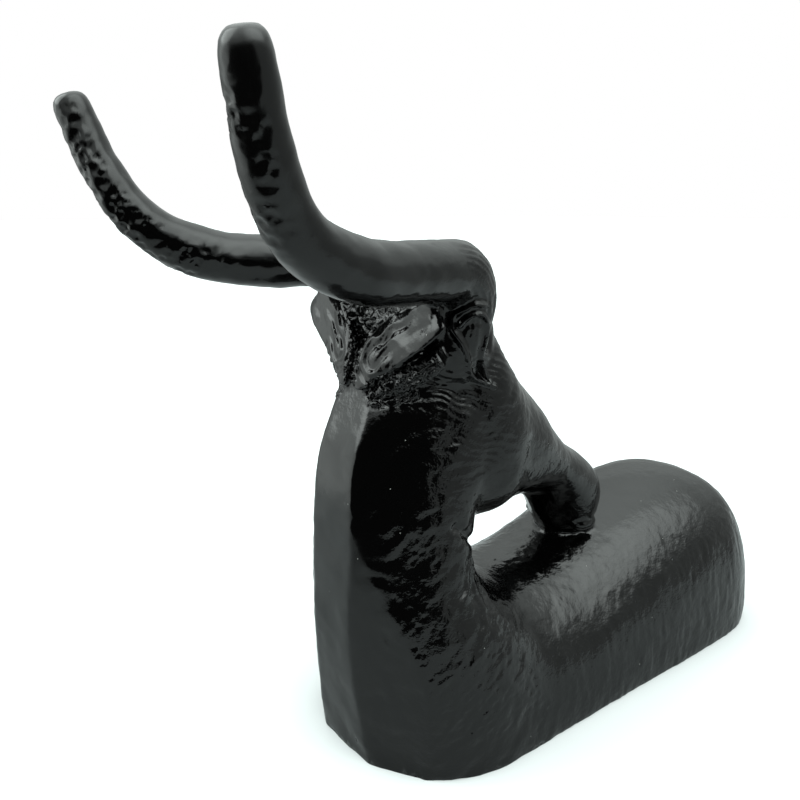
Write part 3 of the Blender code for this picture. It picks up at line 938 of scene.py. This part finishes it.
def card(name, f):
    # a dark sheet seen only by the gloss, clear beyond the rim of an oval; its faint glow is
    # painted light standing in for black cloth lit by the room
    reach = f["sheet"] * f["half"][0]
    corners = np.array([(-reach, 0, 0), (reach, 0, 0), (reach, 0, reach), (-reach, 0, reach)])
    obj = meshObject(name, corners, np.array([(0, 1, 2), (0, 2, 3)]))
    obj.location = f["place"]
    obj.rotation_euler = (0, 0, radians(f["turn"]))
    paper = bpy.data.materials.new(name + "Paper")
    paper.use_nodes = True
    tree = paper.node_tree
    tree.nodes.remove(tree.nodes["Principled BSDF"])
    place = addNode(tree, "ShaderNodeTexCoord").outputs["Object"]
    (across, up), (wide, high) = f["middle"], f["half"]
    oval = addNode(tree, "ShaderNodeMapping", {"Location": (-across / wide, 0, -up / high),
                   "Scale": (1 / wide, 1, 1 / high)}, Vector=place)
    away = addNode(tree, "ShaderNodeVectorMath", {"operation": "LENGTH"}, i0=oval.outputs[0])
    # painted light: the card glows faintly in place of lit black cloth
    dark = addNode(tree, "ShaderNodeEmission", {"Strength": f["glow"]})
    cleared(tree, remapped(tree, away.outputs["Value"], *f["rim"]), dark.outputs[0])
    obj.data.materials.append(paper)
    obj.visible_camera = obj.visible_diffuse = obj.visible_shadow = False


def ground(f):
    # the floor is seen by the camera only
    half = f["floorSize"] / 2
    corners = np.array([(-half, -half, 0), (half, -half, 0), (half, half, 0), (-half, half, 0)])
    floor = meshObject("paleFloor", corners, np.array([(0, 1, 2), (0, 2, 3)]))
    floor.data.materials.append(plainPaper("palePaper", f["floorColour"]))
    floor.visible_glossy = floor.visible_diffuse = floor.visible_shadow = False

    # what the gloss sees of it is a round table top, with shade painted into its colour at the
    # card's end, and fading out
    sides, reach = f["tableSides"], f["tableReach"]
    angle = np.linspace(0, 2 * pi, sides, endpoint=False)
    rim = np.stack([reach * np.cos(angle), reach * np.sin(angle), 0 * angle - f["tableDrop"]], -1)
    table = meshObject("paleTable", rim, np.array([(0, k, k + 1) for k in range(1, sides - 1)]))
    paper = plainPaper("tablePaper", f["tableColour"])
    tree = paper.node_tree
    shader = tree.nodes["Principled BSDF"]
    place = addNode(tree, "ShaderNodeTexCoord").outputs["Object"]
    # painted shade: the colour is darkened to shade times itself round shadePlace, though nothing
    # there casts a shadow
    away = addNode(tree, "ShaderNodeVectorMath", {"operation": "DISTANCE", 1: f["shadePlace"]},
                   i0=place)
    share = remapped(tree, away.outputs["Value"], *f["shadeReach"], f["shade"])
    shaded = addNode(tree, "ShaderNodeVectorMath", {
        "operation": "SCALE", 0: linear(f["tableColour"])[:3]}, Scale=share)
    tree.links.new(shaded.outputs[0], shader.inputs["Base Color"])
    middle = addNode(tree, "ShaderNodeVectorMath", {"operation": "LENGTH"}, i0=place)
    fade = remapped(tree, middle.outputs["Value"], f["fadeFrom"], reach)
    cleared(tree, fade, shader.outputs[0])
    table.data.materials.append(paper)
    table.visible_camera = False


def lobe(tree, place, turn, rise, outer, inner, glow):
    # a soft round light in the room's walls
    aim = addNode(tree, "ShaderNodeVectorMath", {
        "operation": "DOT_PRODUCT", 1: towards(turn, rise)}, i0=place)
    return remapped(tree, aim.outputs["Value"], np.cos(radians(outer)), np.cos(radians(inner)),
                    0.0, glow)


def room(f):
    # low at the horizon and higher above, with soft lights to the front, behind and low on one
    # side; the camera sees a plain backdrop instead
    world = bpy.data.worlds.new("paleRoom")
    world.use_nodes = True
    tree = world.node_tree
    place = addNode(tree, "ShaderNodeTexCoord").outputs["Generated"]
    rise = addNode(tree, "ShaderNodeSeparateXYZ", Vector=place).outputs["Z"]
    ladder = addNode(tree, "ShaderNodeValToRGB", Fac=rise)
    steps = ladder.color_ramp.elements
    for k, (at, grey) in enumerate(roomLevels):
        step = steps[k] if k < 2 else steps.new(at)
        step.position, step.color = at, (grey, grey, grey, 1)
    total = addNode(tree, "ShaderNodeMath", {"operation": "MULTIPLY", 1: f["roomGlow"]},
                    i0=ladder.outputs["Color"]).outputs[0]
    above = remapped(tree, rise, *f["keyRise"])
    for name, form in lobes.items():
        light = lobe(tree, place, *form)
        if name == "key":
            light = combined(tree, "MULTIPLY", light, above)
        total = combined(tree, "ADD", total, light)
    seen = addNode(tree, "ShaderNodeLightPath").outputs["Is Camera Ray"]
    shown = addNode(tree, "ShaderNodeMix", {"data_type": "FLOAT", 3: 1.0}, i0=seen, i2=total)
    tint = addNode(tree, "ShaderNodeMix", {"data_type": "RGBA", 6: linear(f["backdrop"]),
                   7: (1, 1, 1, 1)}, i0=seen)
    tree.links.new(shown.outputs[0], tree.nodes["Background"].inputs["Strength"])
    tree.links.new(tint.outputs[2], tree.nodes["Background"].inputs["Color"])
    bpy.context.scene.world = world


cameraForm = {"place": (-0.168, -0.1427, 0.130), "turn": 37.7, "down": 13.7, "lens": 35.19,
              "sensor": 36, "nearest": 0.005}


def photoCamera(f):
    camera = bpy.data.cameras.new("camera")
    camera.sensor_width = f["sensor"]
    camera.lens = f["lens"]
    camera.clip_start = f["nearest"]
    obj = bpy.data.objects.new("camera", camera)
    obj.location = f["place"]
    obj.rotation_euler = (radians(90 - f["down"]), 0, radians(-f["turn"]))
    bpy.context.scene.collection.objects.link(obj)
    bpy.context.scene.camera = obj


ground(studioForm)
room(studioForm)
card("darkCard", darkCard)
photoCamera(cameraForm)
bpy.context.scene.view_settings.view_transform = "Standard"
print("floor, lights and camera placed")
